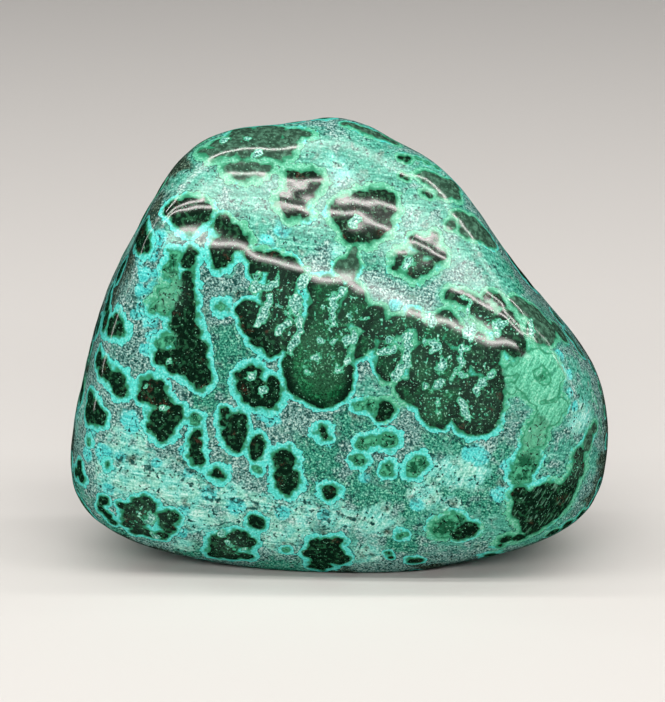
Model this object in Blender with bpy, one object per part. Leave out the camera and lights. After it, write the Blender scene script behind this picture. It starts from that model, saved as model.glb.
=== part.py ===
"""A hand-polished free-form of malachite in chrysocolla, standing on the flat that was cut under it.

The stone is one solid. Its surface is worked out as a lapidary works it: an outline is sawn, broad faces
are ground on the front and the back, and polishing rounds every edge between them. Each of those steps is
one term of reach_mm(), which says how far the surface lies from the heart of the stone in any direction.

Metres, +Z up. The front looks along -Y, +X is to its right, and the origin is the middle of the base.
"""

import math

import bmesh
import bpy
import numpy as np
from mathutils import Vector, noise

MM = 0.001

# The heart is the point that every distance below is measured from, this high above the table.
HEART_HEIGHT_MM = 40.0

# The sawn outline seen from the front, as millimetres right of and above the heart, clockwise from the top.
OUTLINE_MM = [
    (0.0, 43.2),
    (6.0, 41.6),
    (11.3, 38.9),
    (17.4, 35.7),
    (22.9, 30.3),
    (28.9, 22.1),
    (34.7, 13.8),
    (40.3, 7.0),
    (45.0, 1.4),
    (48.3, -4.0),
    (50.0, -10.6),
    (50.5, -17.5),
    (49.5, -25.0),
    (46.0, -31.0),
    (36.6, -35.8),
    (24.0, -39.8),
    (6.0, -42.8),
    (-16.0, -40.9),
    (-33.0, -37.5),
    (-43.4, -32.6),
    (-48.8, -26.6),
    (-49.8, -20.0),
    (-48.4, -10.6),
    (-46.2, 0.0),
    (-42.8, 10.4),
    (-38.0, 20.7),
    (-33.2, 29.2),
    (-27.0, 36.8),
    (-19.0, 41.4),
    (-9.0, 42.4),
]

# Ground faces: name -> (bearing, tilt, distance). The bearing turns from the front towards the right, the
# tilt is how far the face looks up, both in degrees, and the distance is from the heart in millimetres.
FRONT_FACES = {
    "face": (-3, -2, 22.8),
    "shoulder": (10, 30, 28.8),
    "brow": (18, 47, 32.0),
    "crown": (20, 60, 36.5),
    "left_cheek": (-52, 4, 46.0),
    "right_cheek": (44, -6, 44.5),
    "apron": (-4, -24, 30.6),
    "foot": (2, -54, 40.6),
}
BACK_FACES = {
    "back": (184, 5, 24.5),
    "back_shoulder": (168, 56, 39.0),
    "back_brow": (210, 52, 36.5),
    "back_slope": (140, 40, 31.5),
    "back_left": (232, 3, 46.0),
    "back_right": (130, -2, 45.0),
    "back_apron": (172, -28, 33.5),
    "back_foot": (182, -56, 44.5),
}
BASE_ROUNDING_MM = 5.0  # how far under the table the rounded bottom would bulge, had the base not been cut

# The higher the number, the crisper the edges: between the faces of one side, and between the sides.
FACE_CRISPNESS = 12
BODY_CRISPNESS = 12
OUTLINE_FADE = 3.0  # how soon the outline's own dips and bumps die away towards the middle of a side

WAVE_LENGTH_MM = 19.0  # slow unevenness that hand polishing leaves
WAVE_HEIGHT_MM = 0.35

SPHERE_SUBDIVISIONS = 5
CURVE_SAMPLES = 24  # points along the outline between two of the listed ones
RIM_SPACING_MM = 0.6  # points along the rim of the base, and beside it, are at least this far apart
MALACHITE_GREEN = (0.045, 0.30, 0.22, 1.0)
POLISH_ROUGHNESS = 0.25


def closed_curve(points):
    """Points along a smooth closed curve (Catmull-Rom) through the given points."""
    here = np.asarray(points)
    before = np.roll(here, 1, axis=0)
    after = np.roll(here, -1, axis=0)
    beyond = np.roll(here, -2, axis=0)
    steps = []
    for t in np.arange(CURVE_SAMPLES) / CURVE_SAMPLES:
        steps.append(
            0.5 * (2 * here + (after - before) * t
                   + (2 * before - 5 * here + 4 * after - beyond) * t**2
                   + (3 * here - before - 3 * after + beyond) * t**3)
        )
    return np.stack(steps, axis=1).reshape(-1, 2)


def outline_reach(angles):
    """Distance from the heart to the outline at each angle, in the plane seen from the front."""
    curve = closed_curve(OUTLINE_MM)
    turn = np.arctan2(curve[:, 1], curve[:, 0])
    order = np.argsort(turn)
    return np.interp(angles, turn[order], np.hypot(*curve[order].T), period=2 * math.pi)


def face_normal(bearing, tilt):
    """The way out of a ground face, as a unit vector."""
    bearing = math.radians(bearing)
    tilt = math.radians(tilt)
    level = math.cos(tilt)
    return np.array([math.sin(bearing) * level, -math.cos(bearing) * level, math.sin(tilt)])


def rounded_and(shares, crispness):
    """Joins the limits that several cuts set into one, with the edges between them rounded."""
    return sum(share**crispness for share in shares) ** (1 / crispness)


def side_limit(faces, directions):
    """The limit that the ground faces of one side set, as a share of the reach."""
    return rounded_and(
        [np.maximum(directions @ face_normal(bearing, tilt), 0) / distance
         for bearing, tilt, distance in faces.values()],
        FACE_CRISPNESS,
    )


def reach_mm(directions):
    """How far the ground stone reaches from its heart in each direction."""
    x, _, z = directions.T
    sawn = np.hypot(x, z) / outline_reach(np.arctan2(z, x))
    base = np.maximum(-z, 0) / (HEART_HEIGHT_MM + BASE_ROUNDING_MM)
    limits = [sawn, base, side_limit(FRONT_FACES, directions), side_limit(BACK_FACES, directions)]
    return 1 / rounded_and(limits, BODY_CRISPNESS)


def surface_mm(directions):
    """Where the stone's surface lies from its heart. The rounding takes nothing off the outline."""
    reach = reach_mm(directions)
    angles = np.arctan2(directions[:, 2], directions[:, 0])
    in_outline = np.stack([np.cos(angles), np.zeros_like(angles), np.sin(angles)], axis=1)
    lost = outline_reach(angles) / reach_mm(in_outline) - 1
    regained = 1 + lost * (1 - directions[:, 1] ** 2) ** OUTLINE_FADE
    return directions * np.stack([reach * regained, reach, reach * regained], axis=1)


def wave_mm(place_mm):
    """Height of the polishing's slow unevenness at a place on the stone."""
    return WAVE_HEIGHT_MM * noise.noise(Vector(place_mm) / WAVE_LENGTH_MM)


def shape_stone(bm):
    """Moves the points of a unit sphere out to the stone's surface."""
    directions = np.array([vert.co.normalized() for vert in bm.verts])
    for vert, direction, place in zip(bm.verts, directions, surface_mm(directions)):
        place = place + direction * wave_mm(place)
        vert.co = Vector(place) * MM
        vert.co.z += HEART_HEIGHT_MM * MM


def rim_of(bm):
    return [vert for vert in bm.verts if vert.is_boundary]


def cut_base(bm):
    """Cuts everything under the table off flat, closes the cut and leaves its rim crisp."""
    bmesh.ops.bisect_plane(
        bm, geom=bm.verts[:] + bm.edges[:] + bm.faces[:], plane_co=(0, 0, 0), plane_no=(0, 0, 1),
        clear_inner=True,
    )
    for vert in rim_of(bm):
        vert.co.z = 0.0
    spacing = RIM_SPACING_MM * MM
    bmesh.ops.remove_doubles(bm, verts=rim_of(bm), dist=spacing)
    beside = bmesh.ops.find_doubles(bm, verts=bm.verts, keep_verts=rim_of(bm), dist=spacing)
    bmesh.ops.weld_verts(bm, targetmap=beside["targetmap"])
    closed = bmesh.ops.edgeloop_fill(bm, edges=[edge for edge in bm.edges if edge.is_boundary])
    for edge in closed["faces"][0].edges:
        edge.smooth = False


def centre_on_origin(bm):
    """Puts the middle of the stone's box, seen from above, at the origin."""
    places = np.array([vert.co for vert in bm.verts])
    middle = (places.min(axis=0) + places.max(axis=0)) / 2
    bmesh.ops.translate(bm, verts=bm.verts, vec=(-middle[0], -middle[1], 0))


def polished_malachite():
    material = bpy.data.materials.new("polished_malachite")
    material.use_nodes = True
    shader = material.node_tree.nodes["Principled BSDF"]
    shader.inputs["Base Color"].default_value = MALACHITE_GREEN
    shader.inputs["Roughness"].default_value = POLISH_ROUGHNESS
    shader.inputs["Metallic"].default_value = 0.0
    return material


def make_stone():
    bm = bmesh.new()
    bmesh.ops.create_icosphere(bm, subdivisions=SPHERE_SUBDIVISIONS, radius=1.0)
    for face in bm.faces:
        face.smooth = True
    shape_stone(bm)
    cut_base(bm)
    centre_on_origin(bm)
    bmesh.ops.triangulate(bm, faces=bm.faces)
    bmesh.ops.recalc_face_normals(bm, faces=bm.faces)
    mesh = bpy.data.meshes.new("stone")
    bm.to_mesh(mesh)
    bm.free()
    mesh.materials.append(polished_malachite())
    stone = bpy.data.objects.new("stone", mesh)
    bpy.context.scene.collection.objects.link(stone)
    return stone


def main():
    for obj in list(bpy.data.objects):
        bpy.data.objects.remove(obj, do_unlink=True)
    make_stone()


main()
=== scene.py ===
"""The looks of a hand-polished free-form of malachite in chrysocolla, and a plain studio around it.

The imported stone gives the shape. This script fairs it into a fine polished surface, lays out the malachite
eyes, their rims and the matrix between them as values on that surface, and colours those values with one
procedural material. Everything is in metres, +Z up; the names that end in _MM hold millimetres.
"""

import math

import bpy
import numpy as np
from bpy.props import FloatProperty, FloatVectorProperty, IntProperty, PointerProperty
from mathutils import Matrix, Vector
from mathutils.bvhtree import BVHTree


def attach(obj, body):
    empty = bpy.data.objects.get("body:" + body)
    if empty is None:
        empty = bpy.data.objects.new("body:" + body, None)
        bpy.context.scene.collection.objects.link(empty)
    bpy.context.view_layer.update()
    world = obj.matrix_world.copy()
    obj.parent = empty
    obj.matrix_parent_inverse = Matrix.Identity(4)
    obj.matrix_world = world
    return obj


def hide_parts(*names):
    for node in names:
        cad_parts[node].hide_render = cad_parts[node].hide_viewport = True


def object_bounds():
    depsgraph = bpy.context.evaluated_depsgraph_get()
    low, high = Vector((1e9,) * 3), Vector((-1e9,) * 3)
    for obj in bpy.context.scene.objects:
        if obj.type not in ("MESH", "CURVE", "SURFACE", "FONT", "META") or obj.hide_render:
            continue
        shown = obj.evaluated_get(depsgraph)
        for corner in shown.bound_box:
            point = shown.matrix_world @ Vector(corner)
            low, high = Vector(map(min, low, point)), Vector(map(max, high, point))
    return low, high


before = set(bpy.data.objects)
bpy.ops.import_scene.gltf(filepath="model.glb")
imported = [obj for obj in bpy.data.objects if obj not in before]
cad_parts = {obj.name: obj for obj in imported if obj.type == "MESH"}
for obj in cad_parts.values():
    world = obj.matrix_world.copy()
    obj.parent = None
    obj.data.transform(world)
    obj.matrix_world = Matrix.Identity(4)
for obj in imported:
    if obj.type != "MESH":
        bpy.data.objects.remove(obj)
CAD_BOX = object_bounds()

bl_info = {
    "name": "Polished Malachite Free-form",
    "version": (1, 0, 0),
    "blender": (4, 5, 0),
    "location": "3D View > Sidebar > Malachite",
    "description": "Builds a polished malachite and chrysocolla free-form and a plain studio",
    "category": "Object",
}

MM = 0.001
NODE = "stone"
PIECE = "polished_stone"

# The camera looks at the stone's heart. Places on the stone are given as it sees them: millimetres right of
# and above the heart, measured square to its line of sight.
HEART_MM = Vector((0.0, 0.0, 40.0))
VIEW_ELEVATION = 15.0
VIEW_DISTANCE_MM = 600.0

# What an eye's core is made of; one kind is greyed by painted sheen.
INK = "ink"  # nearly black green, the deepest malachite
EMERALD = "emerald"  # rich green with a dark border
LEAF = "leaf"  # paler green that fades into its rim
SMOKE_AND_SHEEN = "smoke"  # ink green paled to a hazy grey green: painted sheen, the lamps' reflection on eyes near the top, on the ridge and at the right edge
MILK = "milk"  # milky green, with fine fibres

# The eyes: name -> (core, width of the rim in mm, lobes). A lobe is (right, above, radius) in mm, and the
# lobes of one eye run together.
EYES = {
    "brow": (SMOKE_AND_SHEEN, 1.5, [
        (-23.2, 36, 1.5), (-20.6, 36.9, 2.2), (-17.4, 37.3, 2.6), (-14.2, 37.3, 2.8), (-11.4, 36.9, 2.5),
        (-9.4, 37.6, 1.6), (-22, 38, 1.6), (-18, 39.8, 2.6), (-13, 40.2, 2.8), (-8.6, 39.6, 1.8),
        (-6.2, 39.6, 0.9), (-25.4, 36.6, 0.9),
    ]),
    "under_brow": (SMOKE_AND_SHEEN, 1.5, [(-20.4, 33.3, 1), (-18.3, 32.7, 2), (-15.4, 33.1, 1.6), (-13.6, 33.2, 0.8)]),
    "shoulder_drop": (INK, 1.6, [
        (-8.3, 31.3, 1.7), (-5.3, 31.1, 2), (-7, 29, 2.3), (-9.9, 27.4, 1.3), (-8.2, 26.5, 2.1),
        (-9, 24.9, 1.1), (-6.2, 24.9, 0.6),
    ]),
    "shoulder_disc": (INK, 1.3, [
        (4.6, 24.8, 4.4), (7.6, 26.6, 3.2), (1.2, 24.8, 2.8), (3.4, 21.9, 2.6), (7, 23, 2.7),
        (1.9, 20.6, 0.9), (5.2, 20, 1),
    ]),
    "twin": (INK, 1.3, [
        (14.5, 19.6, 1.2), (16.3, 18.6, 1.8), (18.1, 17.3, 1.5), (17.8, 20.6, 0.7), (19.2, 16.8, 0.7),
        (10.9, 15.9, 0.9), (11.9, 17.1, 1.1), (10.7, 14.8, 0.6), (13.9, 13.8, 1.2), (15.7, 14.6, 1.1),
        (16.9, 15.4, 0.8), (14.6, 16.6, 0.9),
    ]),
    "crown_edge": (SMOKE_AND_SHEEN, 0.7, [
        (1.2, 41.6, 0.7), (2.6, 41.3, 0.8), (4.2, 40.6, 1), (5.8, 40, 1.1), (7.4, 39.4, 1.1), (9, 38.7, 0.9),
        (10.6, 38, 0.7), (4.4, 42, 1.2), (6.6, 41.2, 1.3), (9, 40.2, 1.2),
    ]),
    "saddle": (SMOKE_AND_SHEEN, 0.8, [(2.4, 15.4, 1.6), (1.4, 13.4, 1.3), (2.8, 17.7, 0.7), (0.2, 14.6, 1.2)]),
    "crown_bead": (INK, 0.8, [(11.8, 35.3, 0.75), (12.8, 35, 0.8)]),
    "crown_fleck": (INK, 0.5, [(11.7, 32, 0.6), (12.7, 31.4, 0.5)]),
    "right_rim": (LEAF, 0.4, [(14.6, 35.2, 0.6), (16.4, 34.4, 0.7), (18.4, 33.4, 0.7)]),
    "right_seed": (INK, 0.6, [(15.7, 28.7, 0.65), (16.8, 28.1, 0.65)]),
    "right_brow": (SMOKE_AND_SHEEN, 0.8, [
        (14.6, 32, 0.5), (16.2, 31.8, 1.4), (18, 30.8, 1.9), (20, 29.6, 2.2), (21.6, 28.4, 1.5),
        (19.3, 28.5, 1), (21.4, 30.2, 1.6),
    ]),
    "right_slope": (SMOKE_AND_SHEEN, 0.8, [
        (21.7, 24.6, 0.7), (20.8, 22.7, 1), (23.4, 23.6, 1.6), (25.2, 22.4, 2.4), (27.2, 20.6, 2.2),
        (28.6, 19.2, 1.2), (24, 21.6, 1.6),
    ]),
    "pocket": (INK, 1.3, [
        (-30.4, 25.6, 1.8), (-27.6, 25.2, 2.9), (-25.2, 25.2, 1.8), (-28, 23, 1.9), (-31.7, 25.4, 0.7),
    ]),
    "pocket_tail": (INK, 1.2, [
        (-21.6, 22.8, 1.7), (-19.5, 21.1, 1.8), (-20.9, 19.2, 2.1), (-22.6, 18.4, 1.4), (-22, 16.3, 1.8),
        (-18.2, 19.3, 1.6),
    ]),
    "tall_left": (INK, 1.3, [
        (-27.5, 17.4, 0.9), (-28.2, 15.6, 1.2), (-28.3, 13.2, 1.1), (-28.1, 10.8, 1.2), (-28.4, 8.4, 1.8),
        (-28.9, 5.6, 2.3), (-28.2, 3, 2.4), (-30.2, 3.9, 1.2), (-32.8, -1.8, 1.6), (-30.4, -2.6, 2.4),
        (-28, -2.8, 3), (-26.9, -0.4, 2.3), (-26.4, -4.6, 2.3), (-25.6, -6.1, 1.8), (-28.4, 0.6, 2.2),
    ]),
    "left_margin": (INK, 0.6, [
        (-43.9, 11.2, 1), (-42.4, 13.4, 0.8), (-45.2, 7, 0.8), (-45.8, 3.6, 0.9), (-46.6, 0.4, 0.7),
    ]),
    "left_moss": (LEAF, 1.2, [
        (-31.3, 14.2, 1.4), (-30.4, 17, 1.1), (-31.5, 9.3, 1.9), (-30.2, 11.3, 1.1), (-32.6, 7.6, 1.5),
        (-34.4, 7.2, 0.9), (-31, 1.3, 1.2), (-33.2, 0.4, 1.1),
    ]),
    "left_edge": (INK, 1.6, [
        (-42.6, 10.4, 1), (-43.2, 7.8, 1.5), (-43.5, 5, 1.8), (-42.4, 3.7, 1.6), (-40.8, 3.2, 1.2),
        (-41.4, 5.4, 0.8),
    ]),
    "left_slipper": (INK, 1.4, [
        (-44.8, -2.1, 1.4), (-43.9, -4, 1.7), (-42.6, -5.2, 1.2), (-41.2, -6.3, 1.7), (-40.6, -8, 1.4),
    ]),
    "left_heart": (INK, 1.1, [
        (-46.4, -9.6, 1.4), (-45.7, -11.6, 2.2), (-46.6, -12.6, 1.7), (-44.8, -12.9, 1.8),
    ]),
    "left_low": (INK, 1, [(-48.4, -22.2, 1.2), (-48, -24, 1.3), (-49, -23.4, 1)]),
    "left_ring": (LEAF, 1.2, [(-46.6, -17.5, 0.55)]),
    "low_ring": (INK, 1.1, [(-43, -22, 0.5)]),
    "upper_lobes": (INK, 0.9, [
        (-14.8, 15.8, 1.9), (-12.2, 15.6, 2.1), (-9.6, 14.8, 2), (-15.4, 13.6, 1.2), (-11, 12.4, 2.4),
        (-10.4, 9.4, 2.4), (-12, 5.4, 2.6), (-10.4, 6.9, 1.8), (-16.9, 6.6, 2.2), (-16.4, 4.2, 1.9),
        (-14.6, 1.9, 2.3), (-12.6, 0.2, 2), (-11.4, 2.6, 2.3), (-9.4, 3.8, 1.9), (-9.5, 0.9, 1.6),
        (-7.6, 13.6, 1.2), (-13.6, 9, 1.4), (-16.6, 17.2, 1),
    ]),
    "emerald_heart": (EMERALD, 0.8, [
        (-3.6, 10.8, 2.4), (-2.2, 8.6, 2.5), (-3.4, 6.4, 2.5), (-0.6, 11.2, 1.8), (-4.3, -4.4, 6.1),
        (-3, -6.2, 5.3), (-4.8, -0.4, 4.6), (-3.4, 3.2, 3.2), (-0.8, -3.2, 2.8), (-0.2, 1.6, 2.6),
    ]),
    "emerald_knob": (EMERALD, 0.8, [
        (2.6, 7.2, 2.5), (1.4, 5.6, 1.6), (3.2, 9.6, 1.6), (2.2, 11.2, 1.1), (4.6, 4.8, 1.6),
        (6.8, 3.6, 1.9), (4.8, 0.8, 1.7), (3.8, -1, 1.2), (8.8, 2.8, 1.8), (11, 4, 1.8), (7, 6.2, 1.6),
        (8.4, -1, 1.6), (8.7, -3.8, 2.1), (9.2, -5.4, 1.4), (10.6, -1.6, 1.1),
    ]),
    "emerald_wing": (EMERALD, 0.9, [
        (13.6, 5.2, 1.8), (16.6, 3, 2.5), (19.8, 4.6, 2.2), (21.6, 2.2, 2), (17.6, 0.2, 1.9),
        (15, -1.6, 1.8), (15.8, -4.6, 2.9), (12.3, -7.8, 1.8), (13.9, -9.2, 1.7), (16.8, -8, 2.6),
        (18.2, -12.4, 2.9), (16.9, -10.8, 2.4), (20.6, -9, 2.8), (20.2, -5, 2.4), (22.4, -2.8, 2.2),
        (19.4, -1.6, 1.8),
    ]),
    "ink_wing": (INK, 1.2, [
        (25.4, -12.4, 4.3), (27.2, -9.6, 3.3), (28.6, -6.8, 2.3), (24, -8, 2.8), (29, -5.2, 1.4),
        (26.2, -1.6, 2.7), (27.8, -3.4, 2.1), (25, 1, 2.2), (22.9, -11.8, 2.2), (28.6, -0.6, 1.9),
    ]),
    "ridge_band": (INK, 0.9, [
        (20.6, 9.6, 1.2), (22.8, 9.2, 1.4), (24.8, 8, 1.7), (26.8, 6.6, 1.9), (28.2, 4.8, 1.6),
        (27.8, 9.8, 0.8), (29.2, 9.1, 1), (30, 8.3, 0.9),
    ]),
    "ridge_thumb": (INK, 0.7, [
        (32.2, 1, 2.6), (31.6, 3.6, 2.2), (33.2, -0.3, 1.5), (30.4, 2, 1.4), (31, 5.6, 1.6),
    ]),
    "ridge_far": (SMOKE_AND_SHEEN, 0.8, [
        (32.8, 8.5, 1.2), (34.4, 7.4, 1.8), (36.8, 6, 2.4), (38.6, 3.8, 2.7), (36.2, 3.4, 1.7),
        (38.8, 1.7, 1.5), (41, 3, 2.3), (43, 2, 1.6), (40.6, 5.6, 1.8), (44.8, -0.6, 1.3), (37.2, 1.4, 1.2),
    ]),
    "right_margin": (SMOKE_AND_SHEEN, 0.6, [
        (47.2, -3.6, 1), (48.6, -7.4, 0.8), (49.6, -12, 0.9), (47.6, -14.8, 1.1), (46.6, -16.6, 1.3),
        (46.2, -18.2, 1.4), (49.8, -17.6, 0.9),
    ]),
    "brown_eye": (LEAF, 0.9, [(37.8, -5.4, 0.7)]),
    "milk_ring": (MILK, 0.8, [
        (40.6, -5.2, 1.5), (39.4, -2.8, 1.6), (36.6, -2, 1.8), (34.4, -3.8, 1.7), (34.6, -6.8, 1.8),
        (36.6, -8.8, 1.8), (39.4, -8.2, 1.6),
    ]),
    "milk_lobe": (MILK, 0.8, [(39.6, -12.4, 2), (41.4, -10.8, 1.4), (38, -11.6, 1.2)]),
    "milk_knob": (MILK, 0.9, [(31.6, -4.6, 1), (31.8, -7.6, 1.1)]),
    "leaf_eye": (LEAF, 1, [(36.3, -16.2, 1.8), (35.6, -17.9, 1.5), (37.4, -14.4, 1.7), (37.2, -17.4, 1.2)]),
    "moss_eye": (LEAF, 1.2, [(34.6, -21.6, 2.3), (33.7, -24, 1.8), (35.6, -20.8, 1.3)]),
    "foot_ink": (INK, 1.3, [
        (38.4, -29.6, 4.8), (35.2, -30.2, 3.2), (41.6, -28, 3), (36, -33.4, 2.4), (33.6, -27.6, 1.7),
        (43.4, -25.2, 1.9), (44.6, -22.6, 2), (44.7, -20.2, 1.6),
    ]),
    "foot_margin": (INK, 0.6, [
        (48.4, -25.6, 0.9), (47.2, -28.8, 1.2), (45, -31.2, 1.3), (42.4, -33.2, 1.4), (39.8, -34.6, 1.4),
    ]),
    "low_right": (INK, 0.9, [(23.2, -34.2, 2), (24.6, -33.7, 1.5), (21.8, -35, 1.3)]),
    "low_right_moss": (LEAF, 1.3, [(19.4, -33.8, 2.3), (21.4, -32.6, 1.8)]),
    "low_bead": (INK, 0.8, [(13.6, -39.8, 1.1), (14.8, -39.8, 0.9)]),
    "low_fleck": (INK, 0.5, [(9, -38.4, 0.6), (9.6, -39.2, 0.5)]),
    "low_soft": (LEAF, 1, [(11.6, -35, 0.9)]),
    "low_edge": (INK, 1, [(31, -36, 1.2), (33.4, -35.5, 1.2), (29.8, -36.9, 0.8)]),
    "low_middle": (INK, 1.2, [
        (-4.6, -38.4, 2), (-1.8, -38.5, 2.8), (-0.2, -39.4, 2.1), (-3.6, -40.6, 2.2), (-4.4, -36.4, 1),
        (-2.6, -36.4, 1), (-0.4, -36.3, 1.1),
    ]),
    "low_crowd": (INK, 1.2, [
        (-21.6, -36.8, 2.8), (-18.8, -35.8, 2.1), (-16.9, -36.4, 1.5), (-22.8, -38.4, 1.9),
        (-17.2, -39, 1.2), (-20, -39, 1.6),
    ]),
    "low_crowd_bead": (INK, 1, [(-15.7, -32.6, 1.4), (-14.9, -32.9, 1.1)]),
    "low_left": (INK, 0.9, [
        (-36.6, -29.8, 2.2), (-35.4, -29.4, 1.5), (-38.4, -31.2, 2), (-37.6, -32.6, 1.6),
        (-40.4, -29.6, 0.8), (-39.4, -33, 1.2), (-37.6, -34.4, 1.2), (-31.6, -31.9, 1.9),
        (-31.8, -33.6, 1.4), (-33, -35.2, 1.2), (-35.4, -34.7, 1.1),
    ]),
    "low_left_bead": (INK, 0.7, [
        (-43.8, -28.6, 1.1), (-44.3, -30.2, 1.1), (-43, -31.6, 0.9), (-42, -32.8, 0.8),
    ]),
    "chain": (INK, 1.2, [
        (-34.8, -8, 2.3), (-33.5, -9.6, 1.8), (-36, -8.8, 1.4), (-30.9, -12.4, 1.9), (-31.6, -14.2, 1.5),
        (-33.8, -12.8, 1.4), (-34.5, -14.6, 1), (-32.6, -16.6, 1.2), (-33.3, -15.4, 1.3),
    ]),
    "paw": (INK, 1.4, [
        (-16.9, -6, 2.2), (-15.4, -8.6, 2.5), (-13.4, -9, 2.3), (-12.4, -6.9, 1.4), (-16.2, -4.7, 1.3),
        (-13.2, -10.4, 1.4), (-17.4, -8, 1.5),
    ]),
    "kidney": (INK, 0.9, [
        (-21.3, -11.9, 0.8), (-21.5, -14, 0.9), (-18.6, -13.8, 1.6), (-18.8, -15.6, 1.9),
        (-19.4, -17.4, 1.9), (-19.1, -18.4, 1.3), (-20.9, -16, 1),
    ]),
    "acorn": (INK, 1, [(-15.2, -17.5, 1.3), (-15.1, -18.9, 1.2), (-15.5, -20.2, 0.9)]),
    "acorn_moss": (LEAF, 0.8, [(-15, -22.9, 0.9)]),
    "figure_eight": (INK, 1.3, [
        (-10.4, -20.6, 1.9), (-9.7, -21.2, 1.5), (-10.2, -24.2, 1.9), (-9, -25, 1.7), (-10, -26.2, 1.5),
    ]),
    "string": (INK, 1.1, [(-26.4, -16.2, 1.1), (-26.6, -18.2, 1.2), (-26.7, -20, 1.2), (-25.9, -21.4, 1)]),
    "string_end": (INK, 1.6, [(-22.6, -23.7, 1.2)]),
    "string_moss": (LEAF, 1.2, [(-26.6, -13.5, 1)]),
    "middle_eye": (INK, 1.5, [(-3.1, -15.7, 0.8), (-2.6, -16.3, 0.75)]),
    "lower_eye": (INK, 1.3, [(-2.2, -26.7, 1.1), (-1.3, -27.2, 1.1)]),
    "moss_pair": (LEAF, 1.2, [(4.4, -18.1, 1.2), (6.2, -17.5, 1)]),
    "moss_round": (LEAF, 1.3, [(9.3, -17.4, 1.5)]),
    "moss_small": (LEAF, 1.2, [(3.8, -21, 1.2)]),
    "moss_drop": (LEAF, 1.1, [(8.9, -23.2, 0.9), (9.1, -22.2, 0.8)]),
    "moss_large": (LEAF, 1.4, [(14, -22.5, 1.7), (14.8, -21.6, 1.3)]),
    "wedge_foot": (INK, 0.9, [(8.8, -11.8, 1.5), (7.6, -13.2, 0.8), (8.2, -10.8, 1)]),
    "wedge_moss": (LEAF, 0.9, [(5.8, -11, 1.2), (3.6, -11, 0.9)]),
    "blue_ring": (LEAF, 1.6, [(-21.9, 7.6, 0.6)]),
    "low_grey_ring": (LEAF, 0.9, [(-9.9, -37.8, 0.7)]),
}

# Light veins that cross the eyes: (right, above) to (right, above), and radius, in mm.
VEINS = [
    ((-15.2, 13.2), (-15.4, 11.6), 0.5), ((-15.6, 11), (-13.4, 10.8), 0.9),
    ((-13.2, 10), (-12.9, 7.8), 0.55), ((-13.3, 7.4), (-15.2, 4.3), 0.5),
    ((-12.2, 11.7), (-11.4, 12.8), 0.5), ((-11.4, 2.7), (-9.9, 4.2), 0.55), ((-6.2, 13.8), (-7.4, 9.8), 0.7),
    ((-7.8, 9), (-8.2, 6.8), 1.1), ((-8.6, 6.4), (-9.6, 6), 0.5), ((-7.4, 5.2), (-7.2, 3.2), 0.5),
    ((-7.6, 2.4), (-9.2, -1), 0.6), ((-4, 1.6), (-1.2, 0.6), 0.4), ((-0.9, 9.6), (-1.3, 5.2), 0.65),
    ((0.4, 10.4), (-0.6, 8.6), 0.5), ((1.8, 1.2), (2.8, 2.4), 1), ((-6.2, -2.4), (-3.4, -2.2), 0.4),
    ((-6.4, -4), (-5.6, -4.6), 0.35), ((0.1, -4.8), (1.2, -3), 0.5), ((2, -0.6), (1.4, -1.8), 0.3),
    ((5.2, 5.4), (4.2, 5), 0.4), ((7.4, -1.2), (10.4, 0), 0.5), ((8.9, 0.8), (9.8, 1.8), 0.4),
    ((12.6, 2.4), (12.8, -1.6), 0.8), ((10.3, -5.8), (12.3, -3), 0.8), ((16.2, 5.6), (17.2, 4.6), 0.8),
    ((15.8, 1), (18.6, 0.2), 0.4), ((17.2, -0.8), (18.6, 0.2), 0.4), ((22.6, -2.6), (23, -3.2), 0.8),
    ((22.8, -5.3), (23, -5.5), 0.5), ((28.4, -4.8), (26.8, -6.6), 0.4), ((26.8, -6.6), (25.5, -8), 0.75),
    ((22.7, -10.6), (23.4, -12.2), 0.6), ((23.7, -13.2), (23.9, -13.6), 0.35), ((19.4, -2), (19, -5), 0.5),
    ((19, -6.4), (17.4, -7.6), 0.7), ((21.5, -4), (21, -5.6), 0.5), ((19.4, -6), (20.9, -5.8), 0.4),
    ((18, -8.6), (18.4, -9.6), 0.3), ((18.2, -11.2), (18.3, -11.8), 0.3), ((16, -7), (16.2, -7.1), 0.45),
    ((24, 2.2), (24.6, 3.6), 1.1), ((22.8, -0.2), (23.6, 0.4), 0.5), ((29.4, 2.8), (29.7, 4.2), 1),
    ((35.7, 4.8), (36, 0.8), 0.25), ((39.3, 5.3), (39.4, 5.5), 0.25), ((23.3, 5.4), (23.6, 6.6), 0.5),
    ((24.2, 8.4), (23.8, 9), 0.45), ((2.4, 22.4), (3.2, 23.8), 0.7), ((12.4, 15.2), (13.2, 15.8), 0.8),
    ((-15.8, 35.6), (-14.8, 36), 0.5), ((-17.3, 38.5), (-17.1, 38.6), 0.5),
    ((-21.5, 38.3), (-21.3, 38.6), 0.35), ((-15.9, -5), (-15.8, -5.7), 0.5),
    ((-15, -8.7), (-14, -7.8), 0.25), ((-31.6, -2.7), (-31.4, -2.7), 0.4),
    ((-30, -2.2), (-29.9, -2.3), 0.25), ((-36.1, -7.5), (-36, -7.5), 0.3),
    ((-32.5, -11.2), (-32.4, -11.3), 0.4), ((-20.6, -36.4), (-18.8, -38.4), 0.5),
    ((-18.8, -38.4), (-17.4, -37.6), 0.25), ((-21.6, -34.7), (-21.5, -35), 0.35),
    ((-35.4, -32.2), (-34.6, -31.4), 0.8), ((-34.8, -34.8), (-33.8, -35.4), 0.4),
    ((43.6, -0.6), (45.6, -2.6), 0.3), ((47, -8.4), (48.2, -11), 0.35), ((48.8, -13.8), (48.9, -15.2), 0.25),
]

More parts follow.
